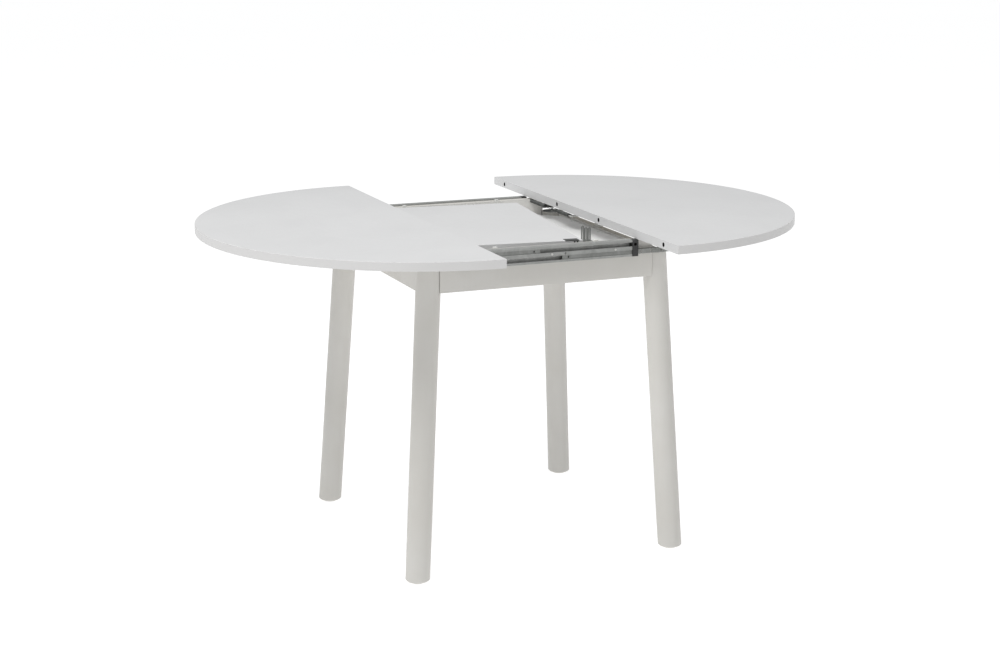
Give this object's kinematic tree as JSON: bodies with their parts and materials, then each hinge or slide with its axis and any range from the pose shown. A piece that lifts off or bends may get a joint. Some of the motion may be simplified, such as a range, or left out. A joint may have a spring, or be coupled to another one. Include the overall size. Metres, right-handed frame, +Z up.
{
  "type": "extendable dining table",
  "caption": "Round extension table drawn open: half-round tops on ball slides, folded leaf in the frame, splayed round legs.",
  "frame": {"origin": "on the floor under the middle of the open top; the base stands 10.8 mm to the left of it, because one half is drawn out further than the other", "axes": "+X along the extension towards the right half, +Y from front to rear, +Z up"},
  "size_m": [1.3898, 1, 0.74],
  "materials": {
    "white_laminate": "satin white laminate on board",
    "white_edging": "satin edge band",
    "white_board": "white foil on board",
    "cream_paint": "satin cream-white paint",
    "raw_wood": "bare wood",
    "beech_dowel": "bare beech",
    "zinc_steel": "zinc plated, rolled",
    "dark_steel": "dark passivated steel",
    "white_lacquer": "white lacquered steel",
    "bolt_steel": "zinc plated",
    "cage_brass": "yellow passivated strip",
    "black_plastic": "moulded",
    "white_plastic": "moulded"
  },
  "bodies": {
    "base": {"leg_front_left": "cream_paint", "corner_plate_front_left": "dark_steel", "corner_bracket_front_left": "dark_steel", "leg_front_right": "cream_paint", "corner_plate_front_right": "dark_steel", "corner_bracket_front_right": "dark_steel", "leg_rear_left": "cream_paint", "corner_plate_rear_left": "dark_steel", "corner_bracket_rear_left": "dark_steel", "leg_rear_right": "cream_paint", "corner_plate_rear_right": "dark_steel", "corner_bracket_rear_right": "dark_steel", "apron_front": "cream_paint", "apron_rear": "cream_paint", "apron_left": "cream_paint", "apron_right": "cream_paint", "leg_glides": "white_plastic", "hanger_bolts": "bolt_steel", "hanger_nuts": "bolt_steel", "corner_plate_screws": "bolt_steel", "corner_bracket_screws": "bolt_steel", "storage_floor": "white_board", "floor_cleats": "raw_wood", "floor_screws": "bolt_steel", "slide_rail_front": "zinc_steel", "slide_rail_rear": "zinc_steel", "slide_end_stops": "black_plastic", "slide_screws": "bolt_steel", "glide_pads": "white_plastic", "leaf_keeper": "zinc_steel", "leaf_pivot_bolt": "bolt_steel", "leaf_pivot_disc": "white_plastic", "tension_springs": "dark_steel", "spring_anchors": "white_lacquer"},
    "left_top": {"left_top_panel": "white_laminate", "left_edge_band": "white_edging", "left_batten": "raw_wood", "left_runner_blocks": "raw_wood", "left_panel_screws": "bolt_steel", "left_runner_front": "zinc_steel", "left_runner_rear": "zinc_steel", "left_dowels": "beech_dowel"},
    "right_top": {"right_top_panel": "white_laminate", "right_edge_band": "white_edging", "right_batten": "raw_wood", "right_runner_blocks": "raw_wood", "right_panel_screws": "bolt_steel", "right_runner_front": "zinc_steel", "right_runner_rear": "zinc_steel", "right_dowel_bushes": "black_plastic"},
    "left_cages": {"left_ball_cages": "cage_brass", "left_balls": "bolt_steel"},
    "right_cages": {"right_ball_cages": "cage_brass", "right_balls": "bolt_steel"},
    "leaf": {"leaf_page_upper": "white_laminate", "leaf_page_lower": "white_laminate", "leaf_hinges_upper": "dark_steel", "leaf_hinges_lower": "dark_steel", "leaf_hinge_pins": "bolt_steel", "leaf_dowels": "beech_dowel"}
  },
  "joints": [
    {"name": "left_slide", "type": "slide", "parent": "base", "child": "left_top", "axis": [1, 0, 0], "range_m": [-0.0215, 0.18405]},
    {"name": "right_slide", "type": "slide", "parent": "base", "child": "right_top", "axis": [-1, 0, 0], "range_m": [0, 0.20565]},
    {"name": "left_cage_roll", "type": "slide", "parent": "base", "child": "left_cages", "axis": [1, 0, 0], "range_m": [-0.011, 0.0925]},
    {"name": "right_cage_roll", "type": "slide", "parent": "base", "child": "right_cages", "axis": [-1, 0, 0], "range_m": [0, 0.1035]},
    {"name": "leaf_swivel", "type": "hinge", "parent": "base", "child": "leaf", "pos_m": [-0.0827, -0.0009, 0.7], "axis": [0, 0, 1], "range_deg": [0, 10]}
  ],
  "couplings": [
    {"joint": "left_cage_roll", "follows": "left_slide", "ratio": 0.5},
    {"joint": "right_cage_roll", "follows": "right_slide", "ratio": 0.5}
  ]
}
